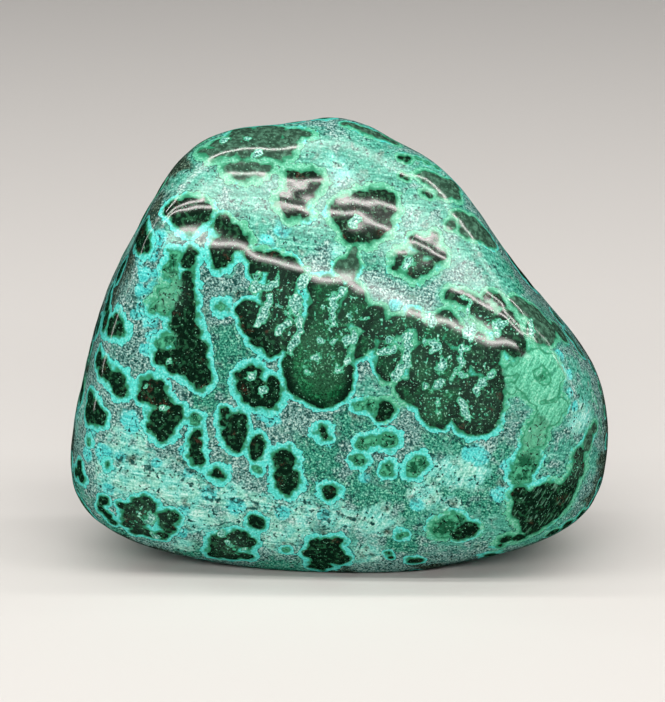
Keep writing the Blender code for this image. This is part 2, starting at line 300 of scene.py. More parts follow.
# Dark dotted cracks in the matrix, each a path through places of (right, above) in mm.
CRACKS = [
    [(-42, -20.2), (-38.5, -21.6), (-34, -23.4), (-30, -24.2), (-26.6, -26.6), (-21, -28.4),
     (-15, -29), (-9, -29.8), (-3, -30.8), (2, -31.8), (6, -32.6), (9.5, -34.6)],
    [(-28, -25.2), (-24, -28.6), (-17, -29.8), (-10, -30.6), (-5, -32), (0, -32.6)],
    [(-13, -28.4), (-8, -28.8), (-2, -29.6)], [(-36, -22), (-31, -22.6), (-28.4, -24)],
    [(1, -33.4), (4.4, -33.8), (7.6, -35.6)], [(-16, -35.4), (-12, -35), (-8.6, -35.8)],
    [(-40.4, 12), (-38.2, 9), (-37.6, 5.6)], [(-35.6, 15), (-33.4, 12), (-35.6, 8.8), (-34.4, 6)],
    [(-38, 17.6), (-35.6, 18.2), (-33, 17.4)], [(11.4, -16.4), (12.2, -18.6), (11.6, -20.4)],
    [(28.8, 15.6), (29.6, 13.4), (31.2, 12.2)], [(16.5, -20.2), (18.6, -20), (20.4, -20.6)],
]

# What the stone is like, area by area, with painted shade along its outline: name -> soft discs of (right,
# above, radius) in mm. Where no area reaches, the matrix is grey and grainy.
CYAN = "cyan"  # bright chrysocolla
MINT = "mint"  # pale, milky green, nearly cream
TEAL = "teal"  # deeper blue green
GREEN = "green"  # malachite and chrysocolla mixed
GREEN_RIMS = "green_rims"  # rims are green instead of cyan
OUTLINE_SHADE = "rind"  # painted shade: a dark, glassy, slightly brown band along the outline that the camera sees, where the surface turns away
MOTTLED = "mottled"  # pale patches in the eyes
FIBROUS = "fibrous"  # slanting pale fibres in the eyes
AREAS = {
    TEAL: [
        (-20, 0, 4), (-22, -5, 4), (-4, -21, 5), (3, -14.5, 4), (-2, -27, 3.5), (6, -27, 5), (11, -26.5, 4),
        (21, -28.5, 5), (27, -31, 5), (31, 14, 3.5), (33, 11.5, 2.5), (31, -32, 3), (18, -18.5, 3),
        (21, -19, 3), (-25, -24.5, 2), (14, -31, 3), (30, -29, 2), (12, -36, 4), (-25, -10, 3), (26, -24, 4),
        (18, -24, 3.5), (-42, -34, 3), (-28, -38, 3), (5.5, 16, 2), (30.5, -20, 2),
    ],
    GREEN: [
        (-30, 32.5, 4), (-24, 30.5, 4), (-17, 28, 4), (-4, 36, 6), (4, 35, 7), (9, 31, 6), (-8, 20.5, 4.5),
        (-15, 23, 3.5), (-32, 21, 3), (14, 27, 5), (16, 33, 4), (21, 26, 4), (24, 18, 3), (12, 18, 5),
        (36, -2, 5), (38, -8, 6), (33, -6, 3.5), (41, -12, 4), (30.5, 12.5, 3), (-20.5, 14, 1.5),
        (37, -20, 5), (47, -22, 4), (42, -20, 4), (30, -34, 4), (20, -33.5, 6), (-1.5, 22, 4), (9, -10.5, 3),
        (5, -8, 2.5), (0, -38, 5), (-20, -34, 3), (46, -30, 4), (-34, 11, 2), (-38, -38, 3), (38, -34, 6),
        (33, 7, 5), (40, 4, 5), (25, 8, 4), (46, -8, 4), (46.5, -15, 4), (44, -4, 3), (28, 16, 4),
        (31.5, 9.5, 3), (6, 38, 5),
    ],
    MINT: [
        (-40.5, -17, 2.6), (-37, -16.5, 2.2), (-42, -25, 3.5), (-37, -25.5, 4), (-32, -26, 3.5),
        (-26, -32.5, 3.5), (-12, -35.5, 3.5), (-8, -34.5, 3), (5, -38.5, 3), (19, -23, 3.5), (24, -23, 3.5),
        (0, 17.5, 2), (45, -13, 3), (-20, -27.5, 3.5), (-14, -30, 3.5), (-7, -30.5, 3), (0, -31.5, 3),
        (7, -32.5, 3.5), (-27, -28, 4), (-33, -24.5, 3.5), (-38, -21.5, 3.5), (-43, -21, 3), (-29, -37, 2),
        (-1, 33, 3), (16, -27, 3), (21, -30, 2), (-18, -31.5, 3),
    ],
    CYAN: [
        (-37.2, 16.4, 1.4), (-34.8, 16.8, 1.2), (-36.4, 13.4, 1.5), (-34.6, 10.4, 1.6), (-37, 10.4, 1.3),
        (-36.2, 7.2, 1.6), (-34, 13.4, 1), (-38, 6, 1), (-35.2, 4.6, 1.4), (-33.6, 20, 1.6),
        (-36.8, 19.4, 1), (-34.4, 1.6, 1.5), (-36, -0.6, 1.2), (-40, 14.6, 0.9), (-38.8, -13.8, 1.8),
        (-38.6, -14.8, 1.4), (25.6, -20.2, 2), (24, -19.8, 1.4), (-29, -19.4, 1), (-12.6, -13.4, 1.6),
        (-14, -12.8, 1.2), (-10.5, -31, 1.4), (-19, -29.8, 1.6), (-24, -27.2, 1.4), (-3, -31.2, 1.2),
        (-29, -30.6, 1.2), (-34, -21.6, 1), (-28, -23.5, 1), (41, -1.5, 1.2), (42.8, -5, 1), (43, -8.4, 0.9),
        (29.8, -27.4, 1.6), (31.2, -22, 1.2), (10.6, 7.6, 1.3), (-44, -19.8, 1.8), (-46.4, -15.6, 1.5),
        (-43, -26.5, 1.2), (-29.2, -34.8, 1.2), (-13.5, 19.5, 1.4), (-10.5, 22, 1.6), (14.4, -29.4, 1.4),
        (4.6, -24.4, 1), (-10.4, 2, 0.8), (44, -11, 1), (-47, -20, 1.4), (-40.6, -20.4, 1),
    ],
    # discs along the outline that the camera sees: painted shade where the surface turns away from it
    OUTLINE_SHADE: [
        (-35.2, 24.5, 4), (-37.4, 20.5, 4), (-39.2, 16.5, 4.4), (-41, 12.6, 4.4), (-42.8, 8, 4),
        (-45.6, 3, 5), (-47.2, -4, 4.5), (-30, 34, 4), (-27.4, 36.8, 4), (-25, 38.8, 4), (-20, 41.4, 4.5),
        (-14, 42.4, 4.5), (-8, 42.6, 4), (4, 43, 3.6), (9, 40.6, 4.4), (14, 37.8, 4.2), (19, 34.4, 4),
        (24.8, 28.4, 4), (30.6, 19.8, 3.6), (46, -0.6, 4), (49.2, -6, 5), (50.2, -11, 6), (50.6, -16, 7),
        (50.2, -22, 7), (48.6, -27.5, 7), (45.5, -32.5, 6.5), (41, -35.6, 6), (35, -37.6, 5), (-50, -18, 4),
        (-41, -38, 4), (-33, -40, 4), (0, -43, 4), (16, -42, 4.4), (26, -40, 4.4),
    ],
    GREEN_RIMS: [
        (8, 19, 5), (12, 14, 4), (5, 10, 3), (18, 11, 4), (21, 18, 4), (3, 1, 3), (9, 7, 3), (13, 0, 3),
        (25, 5, 4), (20, 7, 3), (-28, 26, 3), (-24, 34, 9), (-12, 34, 10), (0, 34, 11), (12, 30, 10),
        (20, 24, 9), (-14, 24, 7), (2, 20, 6), (28, 12, 8), (38, 4, 9), (36, -8, 8), (38, -15, 5),
        (44, -26, 8), (34, -34, 8), (20, -34, 4), (-34, 10, 3), (9, -9, 4), (48, -10, 6),
    ],
    MOTTLED: [
        (26, -11, 5), (-31.5, 10, 3), (36.4, -16.6, 3), (9, 3, 4), (16, 0, 9), (22, -4, 8), (10, 2, 6),
        (0, 6, 6), (-3, 0, 6), (-12, 9, 5), (26, 4, 4), (33, 4, 3), (18, -10, 5), (-9, 4, 4), (-20, -37, 3),
        (-36, -32, 4), (14, 16, 3), (44, -22, 3),
    ],
    FIBROUS: [(38.5, -29.5, 6), (36, -17, 4), (36, -30, 4), (37.5, -5.5, 5), (44.5, -21, 3)],
}

UNSEEN_SEED = 7
UNSEEN_EYES = 700  # eyes tried on the sides that the camera doesn't see
UNSEEN_LARGE_EYES = 233  # the first of them are large, and have many lobes
UNSEEN_CORES = {INK: 0.66, EMERALD: 0.14, LEAF: 0.20}
LARGE_SIZES_MM = (1.6, 3.0)  # radii of their lobes
LARGE_COUNTS = (5, 14)  # of lobes, from the first number to below the second
SMALL_SIZES_MM = (0.7, 2.0)
SMALL_COUNTS = (1, 2, 4)
CROWDING_MM = 2.0  # cores of unseen eyes are at least this far apart
UNSEEN_AREAS = 260
# The surface faces away from the camera where the cosine to it is below these.
EYES_UNSEEN_BELOW = 0.12
AREAS_UNSEEN_BELOW = 0.1
AREA_REACH = 1.5  # an area's amount falls to nothing at this many times its radius


def linear(hex_colour):
    """An sRGB hex colour as the linear red, green and blue that Blender works in."""
    parts = [int(hex_colour[i:i + 2], 16) / 255 for i in (1, 3, 5)]
    return tuple(c / 12.92 if c <= 0.04045 else ((c + 0.055) / 1.055) ** 2.4 for c in parts)


def colour(name, description, hex_colour):
    """A setting that is a colour."""
    return FloatVectorProperty(
        name=name, description=description, subtype="COLOR", default=linear(hex_colour))


class StoneSettings(bpy.types.PropertyGroup):
    """Sizes and colours of the stone."""

    spacing: FloatProperty(
        name="Surface spacing", description="Distance between the points of the fine surface",
        default=0.55 * MM, unit="LENGTH", precision=5)
    fairing: IntProperty(
        name="Fairing", description="Rounds of smoothing that take the facets off", default=32)
    relief: FloatProperty(
        name="Relief", description="How far the softer matrix is polished below the eyes",
        default=0.26 * MM, unit="LENGTH", precision=5)
    ink: colour("Ink green", "Deepest malachite", "#081e13")
    ink_light: colour("Ink green, lit", "Lighter clouds in the deepest malachite", "#23573a")
    rust: colour("Rust", "Brown stains in the deepest malachite", "#3d2a20")
    emerald: colour("Emerald", "Rich green malachite", "#0c4a2b")
    emerald_light: colour("Emerald, lit", "Lighter clouds in rich green malachite", "#267e50")
    leaf: colour("Leaf green", "Pale malachite", "#18573b")
    leaf_light: colour("Leaf green, lit", "Lighter clouds in pale malachite", "#4db088")
    # painted sheen: ink-green malachite paled to grey, as the lamps' reflection shows on the upper eyes
    smoke: colour("Smoke and sheen", "Hazy grey green malachite", "#294436")
    fleck: colour("Fleck", "Tiny pale grains in the malachite", "#7cc0a0")
    halo: colour("Halo", "Green between an eye and its rim", "#2f8561")
    cyan_rim: colour("Cyan rim", "Chrysocolla rim of an eye", "#4fd6cc")
    green_rim: colour("Green rim", "Rim of an eye where malachite and chrysocolla mix", "#54b690")
    seam: colour("Seam", "Thin dark line outside a rim", "#174641")


class StudioSettings(bpy.types.PropertyGroup):
    """The plain studio."""

    floor: colour("Floor colour", "Matt painted board under and behind the stone", "#cfcecb")
    focal_length: FloatProperty(
        name="Focal length", description="Of the camera, in millimetres", default=165.9, unit="CAMERA")


def view_axes():
    """The camera's right, up and back, as unit vectors."""
    tilt = math.radians(VIEW_ELEVATION)
    back = Vector((0, -math.cos(tilt), math.sin(tilt)))
    right = Vector((1, 0, 0))
    return right, back.cross(right), back


# Settings of nodes. Where inputs go by number, a MapRange has where it starts and ends as 1 and 2, and what
# it gives there as 3 and 4; a Mix has its numbers as 2 and 3, and its colours as 6 and 7.
SMOOTH = {"interpolation_type": "SMOOTHSTEP"}
MULTIPLY = {"operation": "MULTIPLY"}
MULTIPLY_ADD = {"operation": "MULTIPLY_ADD"}


def add(tree, kind, settings=(), inputs=(), result=0):
    """Adds a node, sets its properties, sets or links its inputs, and returns one of its outputs."""
    node = tree.nodes.new("ShaderNode" + kind)
    for name, setting in dict(settings).items():
        if name == "stops":
            ramp = node.color_ramp.elements
            while len(ramp) < len(setting):
                ramp.new(1.0)
            for stop, (place, colour) in zip(ramp, setting):
                stop.position = place
                stop.color = (*linear(colour), 1.0)
        else:
            setattr(node, name, setting)
    for name, source in dict(inputs).items():
        socket = node.inputs[name]
        if isinstance(source, bpy.types.NodeSocket):
            tree.links.new(source, socket)
        else:
            socket.default_value = (*source, 1.0) if socket.type == "RGBA" else source
    return node.outputs[result]


def fine_mesh(cad, spacing):
    """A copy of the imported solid's mesh, rebuilt as an even net of small faces."""
    mesh = cad.data.copy()
    shape = bpy.data.objects.new("shape", mesh)
    bpy.context.scene.collection.objects.link(shape)
    weld = shape.modifiers.new("weld", "WELD")
    weld.merge_threshold = 0.01 * MM
    remesh = shape.modifiers.new("remesh", "REMESH")
    remesh.mode = "VOXEL"
    remesh.voxel_size = spacing
    graph = bpy.context.evaluated_depsgraph_get()
    fine = bpy.data.meshes.new_from_object(shape.evaluated_get(graph))
    bpy.data.objects.remove(shape)
    return fine


def places_of(mesh):
    places = np.empty(len(mesh.vertices) * 3)
    mesh.vertices.foreach_get("co", places)
    return places.reshape(-1, 3)


def normals_of(mesh):
    normals = np.empty(len(mesh.vertices) * 3)
    mesh.vertex_normals.foreach_get("vector", normals)
    return normals.reshape(-1, 3)


def edges_of(mesh):
    """The two points of every edge, as two arrays."""
    edges = np.empty(len(mesh.edges) * 2, int)
    mesh.edges.foreach_get("vertices", edges)
    return edges.reshape(-1, 2).T


def averaged(values, edges, rounds):
    """Each point's values, moved halfway to its neighbours' mean, round after round."""
    one, two = edges
    count = len(values)
    shares = np.bincount(one, minlength=count) + np.bincount(two, minlength=count)
    for _ in range(rounds):
        sums = np.stack([
            np.bincount(one, column[two], count) + np.bincount(two, column[one], count)
            for column in values.T
        ], axis=1)
        values = 0.5 * (values + sums / shares[:, None])
    return values


def fair(mesh, rounds):
    """Takes the facets off. What one smoothing takes off a curve, a second one measures and gives back."""
    edges = edges_of(mesh)
    once = averaged(places_of(mesh), edges, rounds)
    places = 2 * once - averaged(once, edges, rounds)
    low, high = (np.array(corner) for corner in CAD_BOX)
    mesh.vertices.foreach_set("co", np.clip(places, low, high).ravel())
    mesh.update()


class Surface:
    """The fine surface, as arrays in millimetres, and ways to find a place on it."""

    def __init__(self, mesh):
        self.places = places_of(mesh) / MM
        self.normals = normals_of(mesh)
        self.tree = BVHTree.FromPolygons(
            self.places.tolist(), [face.vertices[:] for face in mesh.polygons])
        self.right, self.up, self.back = view_axes()
        self.eye = HEART_MM + self.back * VIEW_DISTANCE_MM
        towards = np.array(self.eye) - self.places
        towards /= np.linalg.norm(towards, axis=1)[:, None]
        self.facing = np.einsum("ij,ij->i", self.normals, towards)

    def seen(self, right, above):
        """The place on the surface that the camera sees at these millimetres from the heart."""
        aim = HEART_MM + self.right * right + self.up * above
        hit = self.tree.ray_cast(self.eye, (aim - self.eye).normalized())[0]
        if hit is None:
            hit = self.tree.find_nearest(aim)[0]
        return np.array(hit)

    def nearest(self, place):
        return np.array(self.tree.find_nearest(Vector(place))[0])


CRACK_RADIUS_MM = 0.3
FAR_MM = 9.0  # beyond this a place takes nothing from an eye
MERGE_MM = 0.35  # lobes of one eye run together over this distance
PATH_STEP = 0.6  # the places along a path are this share of its radius apart


def gap_to(places, lobes):
    """Millimetres from each place out to the edge of the lobes, less than nothing inside them."""
    gaps = np.stack([np.linalg.norm(places - centre, axis=1) - radius for centre, radius in lobes])
    least = gaps.min(axis=0)
    return least - MERGE_MM * np.log(np.exp((least - gaps) / MERGE_MM).sum(axis=0))


def seen_eyes(surface):
    """The eyes on the side that the camera sees, with each lobe's centre on the surface."""
    return [
        (core, rim, [(surface.seen(right, above), radius) for right, above, radius in lobes])
        for core, rim, lobes in EYES.values()
    ]


def unseen_eyes(surface, known, rng):
    """Eyes grown at random where the camera sees none, as crowded as the others are."""
    hidden = np.flatnonzero(surface.facing < EYES_UNSEEN_BELOW)
    taken = np.array([(*centre, radius) for _, _, lobes in known for centre, radius in lobes])
    grown = []
    for attempt in range(UNSEEN_EYES):
        place = surface.places[rng.choice(hidden)]
        if attempt < UNSEEN_LARGE_EYES:
            size, count = rng.uniform(*LARGE_SIZES_MM), rng.randint(*LARGE_COUNTS)
        else:
            least, most = SMALL_SIZES_MM
            size, count = least + (most - least) * rng.beta(1.2, 2.4), rng.choice(SMALL_COUNTS)
        lobes = [(place, size)]
        heading = rng.normal(size=3)
        for _ in range(count - 1):
            centre, radius = lobes[rng.randint(max(0, len(lobes) - 3), len(lobes))]
            radius = size * rng.uniform(0.6, 1.2)
            step = heading + 0.8 * rng.normal(size=3)
            step *= radius * rng.uniform(0.8, 1.3) / np.linalg.norm(step)
            lobes.append((surface.nearest(centre + step), radius))
        centres = np.array([centre for centre, _ in lobes])
        gaps = np.linalg.norm(centres[:, None] - taken[:, :3], axis=2) - taken[:, 3]
        if (gaps - np.array([radius for _, radius in lobes])[:, None]).min() < CROWDING_MM:
            continue
        core = rng.choice(list(UNSEEN_CORES), p=list(UNSEEN_CORES.values()))
        grown.append((core, rng.uniform(0.8, 1.4), lobes))
        taken = np.vstack([taken, [(*centre, radius) for centre, radius in lobes]])
    return grown


def lay_out_eyes(surface, rng):
    """For each place: the way out through the nearest eye, how near the next one is, and their cores.

    The way out is in millimetres inside the core (less than 0), and from 0 at the core's edge to 1 at the
    rim's edge outside it."""
    eyes = seen_eyes(surface)
    eyes += unseen_eyes(surface, eyes, rng)
    ways = np.full((len(eyes), len(surface.places)), FAR_MM)
    for way, (_, rim, lobes) in zip(ways, eyes):
        middle = np.mean([centre for centre, _ in lobes], axis=0)
        reach = max(np.linalg.norm(centre - middle) + radius for centre, radius in lobes)
        near = np.linalg.norm(surface.places - middle, axis=1) < reach + FAR_MM
        gap = gap_to(surface.places[near], lobes)
        way[near] = np.minimum(np.where(gap > 0, gap / rim, gap), FAR_MM)
    owner = ways.argmin(axis=0)
    two = np.partition(ways, 1, axis=0)[:2]
    cores = np.array([core for core, _, _ in eyes])[owner]
    return {
        "way_out": two[0],
        "next_eye": two[1] - two[0],
        **{core: (cores == core).astype(float) for core in (EMERALD, LEAF, SMOKE_AND_SHEEN, MILK)},
    }


def inside_of(surface, paths):
    """For each place, the millimetres inside the nearest path, less than nothing outside. A path is its
    points, as (right, above), and its radius."""
    inside = np.full(len(surface.places), -FAR_MM)
    for points, radius in paths:
        for start, end in zip(points, points[1:]):
            steps = max(2, math.ceil(math.dist(start, end) / (PATH_STEP * radius)) + 1)
            for share in np.linspace(0, 1, steps):
                right = start[0] + (end[0] - start[0]) * share
                above = start[1] + (end[1] - start[1]) * share
                away = np.linalg.norm(surface.places - surface.seen(right, above), axis=1)
                inside = np.maximum(inside, radius - away)
    return inside


def lay_out_areas(surface, rng):
    """For each place and kind of matrix, or the painted outline shade, how much of it there is, from 0 to 1.
    """
    discs = [(kind, surface.seen(right, above), radius)
             for kind, places in AREAS.items() for right, above, radius in places]
    hidden = np.flatnonzero(surface.facing < AREAS_UNSEEN_BELOW)
    for _ in range(UNSEEN_AREAS):
        place = surface.places[rng.choice(hidden)]
        kind = rng.choice([TEAL, GREEN, MINT, CYAN, MOTTLED, GREEN_RIMS])
        discs.append((kind, place, rng.uniform(1.0, 2.2) if kind == CYAN else rng.uniform(3.0, 7.0)))
    weights = {kind: np.zeros(len(surface.places)) for kind in AREAS}
    for kind, centre, radius in discs:
        away = np.linalg.norm(surface.places - centre, axis=1) / radius
        weights[kind] = np.maximum(weights[kind], np.clip(AREA_REACH - away, 0, 1))
    return weights


def store(mesh, fields):
    for name, values in fields.items():
        attribute = mesh.attributes.new(name, "FLOAT", "POINT")
        attribute.data.foreach_set("value", values.astype(np.float32))


def smoothstep(low, high, values):
    share = np.clip((values - low) / (high - low), 0, 1)
    return share * share * (3 - 2 * share)


DOME_MM = 4.0  # how far into an eye its crown lies
DOME_SHARE = 0.7  # the share of the relief that is an eye's low dome, the rest is a step at its edge
RELIEF_ROUNDS = 10  # rounds of smoothing of the relief
RELIEF_STARTS_MM = (0.3, 2.0)  # above the table, so the cut base stays flat
EYE_STEP = (-0.4, 0.9)  # where on the way out of an eye the step lies
VEIN_STEP_MM = (-0.3, 0.3)


def sink_matrix(mesh, fields, relief):
    """Lowers what is softer than the eyes, as polishing does."""
    places = places_of(mesh)
    normals = normals_of(mesh)
    free = smoothstep(*RELIEF_STARTS_MM, (places[:, 2] - CAD_BOX[0][2]) / MM)
    dome = np.clip(1 + fields["way_out"] / DOME_MM, 0, 1) ** 2
    step = np.maximum(smoothstep(*EYE_STEP, fields["way_out"]), smoothstep(*VEIN_STEP_MM, fields["vein"]))
    sunk = averaged((DOME_SHARE * dome + (1 - DOME_SHARE) * step)[:, None], edges_of(mesh), RELIEF_ROUNDS)
    sunk = relief * free * sunk[:, 0]
    mesh.vertices.foreach_set("co", (places - normals * sunk[:, None]).ravel())
    mesh.update()


# The noises that the pattern is drawn with: name -> (size in mm of what it draws, detail).
NOISES = {
    "cloud": (3.2, 2.0),
    "stain": (2.3, 3.0),
    "wander": (1.6, 3.0),
    "patch": (1.1, 2.0),
    "mottle": (0.8, 3.0),
    "dots": (0.75, 1.0),
    "fringe": (0.5, 2.0),
    "grain": (0.36, 1.5),  # real grains are finer, but would not show
}
# Streaks: name -> (size in mm along, across and through them, slope in degrees).
STREAKS = {"streak": ((2.6, 1.0, 0.42), -8), "fibre": ((2.4, 1.2, 0.34), 62)}
KNOB_MM = 1.7  # malachite grows in knobs of about this size
CRAZE_MM = 1.9  # from one crack of a crazed patch to the next
CRAZE_BEND_MM = 1.2  # how far the cracks wander, over CRAZE_BEND_SIZE_MM
CRAZE_BEND_SIZE_MM = 1.3
FIBRES_START_MM = 6.0  # the matrix's lines turn from streaks on the left to fibres on the right over this
RING_TURN = 5.4  # radians of an eye's growth rings for each mm inwards
RING_SHADE = 0.06
PIT_DEPTH = 0.012 * MM  # left where grains were pulled out in polishing
STONE_IOR = 1.65  # malachite has more, chrysocolla less

# Weighted sums of what is known of a place, in order: name -> (constant, {what: its weight}).
SUMS = {
    # Eyes and rims are knobbly, and wander off their lobes.
    "way": (-0.91, {"way_out": 1, "wander": 0.8, "knob": 0.85, "fringe": 0.3}),
    "rim_start": (-0.6, {"way": 1, "patch": 1.2}),
    "rim_hue": (-1, {GREEN_RIMS: 1, "patch": 2}),
    "leafy": (0, {"mottle": 1, "way": 0.14}),
    "leaf_veil": (0, {MOTTLED: 0.45}),
    "veil": (0, {MOTTLED: 0.06}),
    "speckle": (0, {"grain": 1, MOTTLED: 0.045}),
    "lined": (0, {"lines": 0.5, "grain": 0.5}),
    "streaked": (0, {"streak": 0.5, "grain": 0.5}),
    "fibred": (0, {"fibre": 0.5, "grain": 0.5}),
    "edge": (-0.62, {"wander": 0.9, "knob": 0.4}),
    "drift": (-1, {"edge": 1, "cloud": 2}),
    "teal_here": (0, {TEAL: 1, "drift": 1}),
    "green_here": (0, {GREEN: 1, "drift": 1}),
    "mint_here": (0, {MINT: 1, "drift": 1}),
    "cyan_here": (0, {CYAN: 1, "edge": 1}),
    "painted_outline_shade_here": (0, {OUTLINE_SHADE: 1, "drift": 1}),
    "crack_here": (-2.25, {"crack": 1, "wander": 1.6, "dots": 2.4}),
    "not_green": (1, {GREEN_RIMS: -0.8}),
    "not_milk": (1, {MILK: -0.85}),
    "vein_path": (-1.55, {"vein": 1, "fringe": 0.3, "wander": 3.4, "knob": -0.7}),
    "specks": (-4.84, {"mottling": 1.8, "dots": 4.5}),
    "inside": (-0.4, {"way": -1}),
}

# Grained colours: name -> (what grains them, where on it the grades lie, the grades from dark to pale).
NARROW = (0.34, 0.45, 0.55, 0.66)
DARK = (0.32, 0.46, 0.58, 0.70)
GRAINED = {
    "grey": ("grain", (0.32, 0.44, 0.55, 0.68), ("#1a3b38", "#477b75", "#71a39b", "#b9d8cf")),
    "teal": ("grain", DARK, ("#0f4a3c", "#237c66", "#42a288", "#86d3b6")),
    "green": ("streaked", NARROW, ("#1f6959", "#3d9480", "#58b49d", "#93d9c8")),
    "aqua": ("lined", NARROW, ("#2b897f", "#63c8ba", "#88dccf", "#c4f4ec")),
    "cream": ("lined", NARROW, ("#3c8f7e", "#7bcab5", "#9fe0d0", "#d2f4eb")),
    "cyan": ("lined", NARROW, ("#289499", "#42c4c0", "#5fd9d3", "#9ceee6")),
    # painted shade along the outline: dark, slightly brown grades
    "rind": ("grain", DARK, ("#14211a", "#2b3f33", "#4a6152", "#8ba391")),
    "milk": ("fibred", NARROW, ("#37896c", "#52ad8b", "#6bc9a6", "#9fe4c9")),
    "vein": ("grain", (0.32, 0.44, 0.55, 0.66), ("#1f5348", "#4f9a8a", "#7cc3b4", "#c6ece2")),
}

# The polish: malachite takes a sharp gloss, the matrix a softer one, the band of painted outline shade the
# sharpest.
OFF_EYE = (-0.2, 0.9)  # it softens over this, on the way out of an eye
ON_VEIN = (-0.3, 0.2)
ROUGHNESS = (0.06, 0.15)  # of the sharp gloss and of the soft one
ROUGHENED_BY = {"mottle": 0.12, OUTLINE_SHADE: -0.12}
PITS = (0.25, 1.0)  # how much of PIT_DEPTH the sharp gloss and the soft one have

PALE_LEAF = "#6fd0a8"
PALE_VEIL = "#7fa898"
PALE_RIM = "#c4f4ea"


def known_of_a_place(tree):
    """The stored values, noises and sums, by name."""
    in_mm = add(tree, "VectorMath", {"operation": "SCALE"}, {
        0: add(tree, "TexCoord", result="Object"), "Scale": 1 / MM})
    known = {
        name: add(tree, "Attribute", {"attribute_name": name}, result="Fac")
        for name in ("way_out", "next_eye", EMERALD, LEAF, SMOKE_AND_SHEEN, MILK, "vein", "crack", *AREAS)
    }
    for name, (size, detail) in NOISES.items():
        known[name] = add(tree, "TexNoise", {}, {"Vector": in_mm, "Scale": 1 / size, "Detail": detail})
    for name, (size, slope) in STREAKS.items():
        along = add(tree, "Mapping", {"vector_type": "TEXTURE"}, {
            "Vector": in_mm, "Rotation": (0, math.radians(-slope), 0), "Scale": size})
        known[name] = add(tree, "TexNoise", {}, {"Vector": along, "Scale": 1.0, "Detail": 2.0})
    known["knob"] = add(tree, "TexVoronoi", {}, {"Vector": in_mm, "Scale": 1 / KNOB_MM})
    bend = add(tree, "TexNoise", {}, {
        "Vector": in_mm, "Scale": 1 / CRAZE_BEND_SIZE_MM, "Detail": 2.0}, "Color")
    bent = add(tree, "VectorMath", MULTIPLY_ADD, {0: bend, 1: (CRAZE_BEND_MM,) * 3, 2: in_mm})
    known["craze"] = add(tree, "TexVoronoi", {"feature": "DISTANCE_TO_EDGE"}, {
        "Vector": bent, "Scale": 1 / CRAZE_MM})
    rightness = add(tree, "MapRange", SMOOTH, {
        0: add(tree, "SeparateXYZ", {}, {0: in_mm}), 1: -FIBRES_START_MM, 2: FIBRES_START_MM})
    known["lines"] = add(tree, "Mix", {"data_type": "FLOAT"}, {
        0: rightness, 2: known["streak"], 3: known["fibre"]})
    known["mottling"] = add(tree, "MapRange", SMOOTH, {0: known[MOTTLED]})
    for name, (total, parts) in SUMS.items():
        for part, weight in parts.items():
            total = add(tree, "Math", MULTIPLY_ADD, {0: known[part], 1: weight, 2: total})
        known[name] = total
    rings = add(tree, "Math", {"operation": "SINE"}, {
        0: add(tree, "Math", MULTIPLY, {0: known["way"], 1: RING_TURN})})
    known["ringed"] = add(tree, "Math", MULTIPLY_ADD, {0: rings, 1: RING_SHADE, 2: known["mottle"]})
    specks = add(tree, "Math", {"operation": "MINIMUM"}, {0: known["specks"], 1: known["inside"]})
    known["veined"] = add(tree, "Math", {"operation": "MAXIMUM"}, {0: known["vein_path"], 1: specks})
    return known


def coated(tree, known, colour, coats):
    """A colour under coats. A coat is its colour and its bounds, and covers what lies within all of them.
    A bound is the name of a value, where the coat starts, where it is full, and how dense it then is. A
    bound of the name alone takes the value itself as the density."""
    for coat, *bounds in coats:
        cover = 1.0
        for name, *limits in bounds:
            share = known[name]
            if limits:
                share = add(tree, "MapRange", SMOOTH, {0: share, **dict(zip((1, 2, 4), limits))})
            cover = add(tree, "Math", MULTIPLY, {0: share, 1: cover})
        colour = add(tree, "Mix", {"data_type": "RGBA"}, {0: cover, 6: colour, 7: coat}, 2)
    return colour


def core_colour(tree, known, grained, settings):
    """The malachite of the eyes, some of it greyed by painted sheen."""
    ink = coated(tree, known, settings.ink, [
        (settings.ink_light, ("mottle", 0.46, 0.72)),
        (settings.rust, ("stain", 0.58, 0.68), ("fringe", 0.45, 0.60)),
    ])
    emerald = coated(tree, known, settings.emerald, [
        (settings.emerald_light, ("ringed", 0.42, 0.68)),
        (settings.ink_light, ("cloud", 0.52, 0.40, 0.8)),
        (settings.ink, ("grain", 0.50, 0.40, 0.7)),
        (settings.ink, ("way", -2.2, -0.5), ("stain", 0.24, 0.54)),
    ])
    leaf = coated(tree, known, settings.leaf, [
        (settings.leaf_light, ("leafy", 0.28, 0.64)),
        (linear(PALE_LEAF), ("leaf_veil",)),
        (settings.ink, ("craze", 0.09, 0.03), ("fringe", 0.42, 0.60)),
    ])
    # painted sheen: ink green paled to grey green, with pale flecks
    smoke = coated(tree, known, settings.smoke, [(settings.fleck, ("mottle", 0.40, 0.75, 0.35))])
    return coated(tree, known, ink, [
        (emerald, (EMERALD,)),
        (leaf, (LEAF,)),
        (smoke, (SMOKE_AND_SHEEN,)),
        (grained["milk"], (MILK,)),
        (linear(PALE_VEIL), ("veil",)),
        (settings.fleck, ("speckle", 0.665, 0.74, 0.85)),
        (settings.fleck, ("fibre", 0.56, 0.72, 0.5), (FIBROUS, 0.2, 0.6)),
    ])


